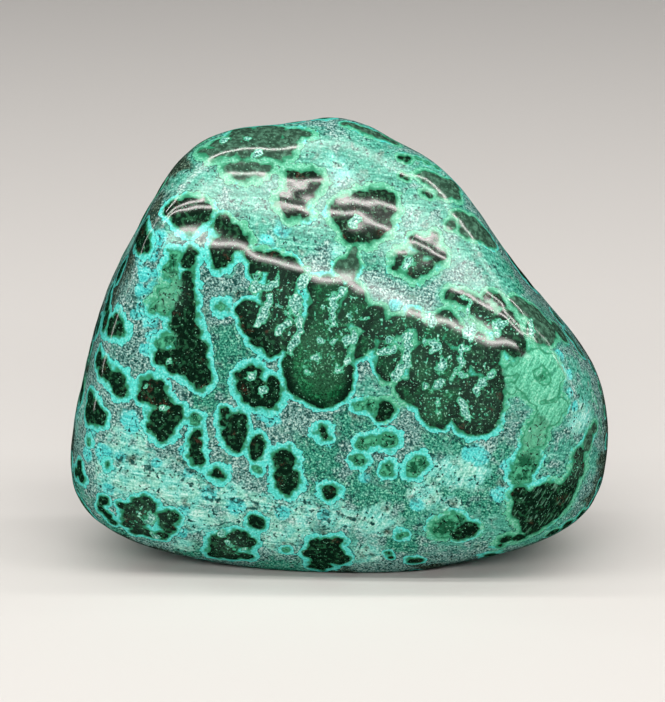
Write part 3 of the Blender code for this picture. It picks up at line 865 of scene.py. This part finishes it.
def matrix_colour(tree, known, grained, settings):
    """What lies between the eyes: grained colours that drift into each other, with painted shade along the
    outline, under dots and cracks.
    """
    mint = coated(tree, known, grained["aqua"], [(grained["cream"], ("stain", 0.44, 0.60))])
    return coated(tree, known, grained["grey"], [
        (grained["teal"], ("teal_here", 0.2, 0.8)),
        (grained["green"], ("green_here", 0.3, 1.0)),
        (mint, ("mint_here", 0.1, 0.9)),
        (grained["cyan"], ("cyan_here", 0.3, 0.7)),
        # painted shade darkens the matrix along the outline that the camera sees
        (grained["rind"], ("painted_outline_shade_here", 0.1, 0.9)),
        (grained["green"], ("way", 2.0, 1.0, 0.85), (GREEN_RIMS, 0.2, 0.8)),
        (settings.seam, ("dots", 0.64, 0.70)),
        (settings.seam, ("way", 1.62, 1.74), ("way", 1.94, 1.82), ("fringe", 0.42, 0.60), ("not_green",)),
        (settings.seam, ("craze", 0.09, 0.03), ("fringe", 0.42, 0.60), (CYAN, 0.1, 1.6)),
        (settings.seam, ("crack_here", -0.20, 0.15, 0.85)),
    ])


def stone_material(settings):
    """Malachite in chrysocolla, cut and polished to a gloss.

    To the eye: glassy, nearly black green eyes with a lit green halo and a cyan rim, in a grainy matrix
    that takes a softer polish, so a lamp's line is sharp on an eye and blurred beside it."""
    material = bpy.data.materials.new("malachite_in_chrysocolla_polished")
    material.use_nodes = True
    tree = material.node_tree
    shader = tree.nodes["Principled BSDF"]
    known = known_of_a_place(tree)
    grained = {
        name: add(tree, "ValToRGB", {"stops": list(zip(grades, colours))}, {0: known[grain]})
        for name, (grain, grades, colours) in GRAINED.items()
    }
    rim = coated(tree, known, settings.cyan_rim, [
        (settings.green_rim, ("rim_hue", 0.25, 0.75)),
        (linear(PALE_RIM), ("grain", 0.50, 0.66, 0.30)),
        (settings.halo, ("grain", 0.48, 0.36, 0.35)),
    ])
    # From an eye's core out: halo, rim, seam and matrix. Then the veins, with edges of their own.
    colour = coated(tree, known, core_colour(tree, known, grained, settings), [
        (settings.halo, ("way", -0.16, 0.12)),
        (rim, ("rim_start", 0.05, 0.60), ("way", 0.0, 0.25)),
        (settings.seam, ("next_eye", 0.16, 0.04), ("way", 0.2, 0.5), ("fringe", 0.36, 0.50), ("not_milk",)),
        (settings.seam, ("way", 0.94, 1.04), ("fringe", 0.36, 0.50), ("not_milk",)),
        (matrix_colour(tree, known, grained, settings), ("way", 1.04, 1.16)),
        (settings.halo, ("veined", -0.30, -0.14)),
        (settings.green_rim, ("veined", -0.16, -0.04)),
        (grained["vein"], ("veined", 0.0, 0.14)),
    ])
    tree.links.new(colour, shader.inputs["Base Color"])

    off_eye = add(tree, "MapRange", SMOOTH, {0: known["way"], 1: OFF_EYE[0], 2: OFF_EYE[1]})
    on_vein = add(tree, "MapRange", SMOOTH, {0: known["veined"], 1: ON_VEIN[0], 2: ON_VEIN[1]})
    soft = add(tree, "Math", {"operation": "MAXIMUM"}, {0: off_eye, 1: on_vein})
    roughness = add(tree, "MapRange", {}, {0: soft, 3: ROUGHNESS[0], 4: ROUGHNESS[1]})
    for name, weight in ROUGHENED_BY.items():
        roughness = add(tree, "Math", MULTIPLY_ADD, {0: known[name], 1: weight, 2: roughness})
    tree.links.new(roughness, shader.inputs["Roughness"])
    shader.inputs["IOR"].default_value = STONE_IOR
    height = add(tree, "Math", MULTIPLY, {
        0: known["grain"], 1: add(tree, "MapRange", {}, {0: soft, 3: PITS[0], 4: PITS[1]})})
    pits = add(tree, "Bump", {}, {"Strength": 1.0, "Distance": PIT_DEPTH, "Height": height})
    tree.links.new(pits, shader.inputs["Normal"])
    return material


class MALACHITE_OT_stone(bpy.types.Operator):
    """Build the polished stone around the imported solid"""

    bl_idname = "malachite.stone"
    bl_label = "Polished Stone"

    def execute(self, context):
        settings = context.scene.malachite_stone
        mesh = fine_mesh(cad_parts[NODE], settings.spacing)
        fair(mesh, settings.fairing)
        rng = np.random.RandomState(UNSEEN_SEED)
        surface = Surface(mesh)
        fields = lay_out_eyes(surface, rng)
        fields["vein"] = inside_of(surface, [((start, end), radius) for start, end, radius in VEINS])
        fields["crack"] = inside_of(surface, [(points, CRACK_RADIUS_MM) for points in CRACKS])
        fields.update(lay_out_areas(surface, rng))
        store(mesh, fields)
        sink_matrix(mesh, fields, settings.relief)
        mesh.name = PIECE
        mesh.shade_smooth()
        mesh.materials.clear()
        mesh.materials.append(stone_material(settings))
        piece = bpy.data.objects.new(PIECE, mesh)
        context.scene.collection.objects.link(piece)
        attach(piece, "root")
        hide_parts(NODE)
        return {"FINISHED"}


FLOOR_HALF_WIDTH = 3.0
FLOOR_FRONT = -2.0
WALL_START = 0.9
WALL_CURVE = 0.8
WALL_TOP = 2.6
WALL_STEPS = 16
BOARD_ROUGHNESS = 0.85


def make_floor(colour):
    """A floor that curves up into a wall behind the stone, in one sweep."""
    profile = [(FLOOR_FRONT, 0.0), (WALL_START, 0.0)]
    for step in range(1, WALL_STEPS + 1):
        turn = math.pi / 2 * step / WALL_STEPS
        profile.append((WALL_START + WALL_CURVE * math.sin(turn), WALL_CURVE * (1 - math.cos(turn))))
    profile.append((WALL_START + WALL_CURVE, WALL_TOP))
    vertices = [(side * FLOOR_HALF_WIDTH, y, z) for y, z in profile for side in (-1, 1)]
    faces = [(2 * i, 2 * i + 1, 2 * i + 3, 2 * i + 2) for i in range(len(profile) - 1)]
    mesh = bpy.data.meshes.new("floor")
    mesh.from_pydata(vertices, [], faces)
    mesh.shade_smooth()
    mesh.materials.append(floor_material(colour))
    floor = bpy.data.objects.new("floor", mesh)
    bpy.context.scene.collection.objects.link(floor)
    floor.visible_glossy = False  # a polished stone would mirror it, and lose its depth of colour
    return floor


def floor_material(colour):
    """Painted board, rolled matt: it takes soft shadows and mirrors nothing."""
    material = bpy.data.materials.new("painted_board_matt")
    material.use_nodes = True
    shader = material.node_tree.nodes["Principled BSDF"]
    shader.inputs["Base Color"].default_value = (*colour, 1.0)
    shader.inputs["Roughness"].default_value = BOARD_ROUGHNESS
    return material


WARM = (1.0, 0.95, 0.92)
# The lamps: name -> (place in metres, width and height in metres, power in watts).
LAMPS = {
    "strip_over": ((0.0, 0.0, 1.04), (2.4, 0.045), 6.4),
    "strip_middle": ((0.0, -0.36, 0.97), (2.4, 0.045), 6.4),
    "strip_front": ((0.0, -0.515, 0.90), (2.4, 0.045), 6.4),
    "key": ((0.0, -1.15, 0.63), (1.6, 0.30), 4.8),
    "key_centre": ((0.0, -1.14, 0.625), (1.6, 0.11), 5.2),
    "side_left": ((-1.0, 0.25, 0.30), (0.06, 0.9), 0.9),
    "side_right": ((1.0, 0.10, 0.30), (0.06, 0.9), 0.9),
}
SKY = (0.9, 0.95, 1.0)
SKY_STRENGTH = 0.14


def add_lamp(name, place, size, power):
    """A softbox at a place, turned to the stone's heart."""
    light = bpy.data.lights.new(name, "AREA")
    light.shape = "RECTANGLE"
    light.size, light.size_y = size
    light.energy = power
    light.color = WARM
    lamp = bpy.data.objects.new(name, light)
    lamp.location = place
    lamp.rotation_euler = (HEART_MM * MM - Vector(place)).to_track_quat("-Z", "Y").to_euler()
    bpy.context.scene.collection.objects.link(lamp)


def make_sky():
    """A faint, cool light from all round, which the polish doesn't mirror."""
    world = bpy.data.worlds.new("studio")
    world.use_nodes = True
    shade = world.node_tree.nodes["Background"]
    shade.inputs["Color"].default_value = (*SKY, 1.0)
    shade.inputs["Strength"].default_value = SKY_STRENGTH
    world.cycles_visibility.glossy = False
    bpy.context.scene.world = world


FRAME_HEIGHT_PX = 702
FRAME_OFFSET_PX = (6.5, 4.0)  # how far right of and above the frame's middle the heart stands


def add_camera(focal_length):
    right, up, back = view_axes()
    data = bpy.data.cameras.new("camera")
    data.sensor_width = 36.0
    data.lens = focal_length
    data.clip_start = 0.01
    camera = bpy.data.objects.new("camera", data)
    pixel = VIEW_DISTANCE_MM * MM * data.sensor_width / focal_length / FRAME_HEIGHT_PX
    aside = right * -FRAME_OFFSET_PX[0] + up * -FRAME_OFFSET_PX[1]
    camera.location = (HEART_MM + back * VIEW_DISTANCE_MM) * MM + aside * pixel
    camera.rotation_euler = back.to_track_quat("Z", "Y").to_euler()
    bpy.context.scene.collection.objects.link(camera)
    bpy.context.scene.camera = camera


class MALACHITE_OT_stage(bpy.types.Operator):
    """Build the floor, the lights and the camera"""

    bl_idname = "malachite.stage"
    bl_label = "Stage"

    def execute(self, context):
        settings = context.scene.malachite_studio
        make_floor(settings.floor)
        add_camera(settings.focal_length)
        for name, lamp in LAMPS.items():
            add_lamp(name, *lamp)
        make_sky()
        context.scene.view_settings.view_transform = "Standard"
        return {"FINISHED"}


class MALACHITE_PT_panel(bpy.types.Panel):
    """The stone's and the studio's settings and steps"""

    bl_idname = "MALACHITE_PT_panel"
    bl_label = "Malachite"
    bl_space_type = "VIEW_3D"
    bl_region_type = "UI"
    bl_category = "Malachite"

    def draw(self, context):
        for operator, settings in ((MALACHITE_OT_stone, context.scene.malachite_stone),
                                   (MALACHITE_OT_stage, context.scene.malachite_studio)):
            box = self.layout.box()
            box.operator(operator.bl_idname)
            for name in settings.__annotations__:
                box.prop(settings, name)


CLASSES = (StoneSettings, StudioSettings, MALACHITE_OT_stone, MALACHITE_OT_stage, MALACHITE_PT_panel)


def register():
    for cls in CLASSES:
        bpy.utils.register_class(cls)
    bpy.types.Scene.malachite_stone = PointerProperty(type=StoneSettings)
    bpy.types.Scene.malachite_studio = PointerProperty(type=StudioSettings)


def unregister():
    del bpy.types.Scene.malachite_studio
    del bpy.types.Scene.malachite_stone
    for cls in reversed(CLASSES):
        bpy.utils.unregister_class(cls)


def main():
    register()
    bpy.ops.malachite.stone()
    bpy.ops.malachite.stage()


if __name__ == "__main__":
    main()
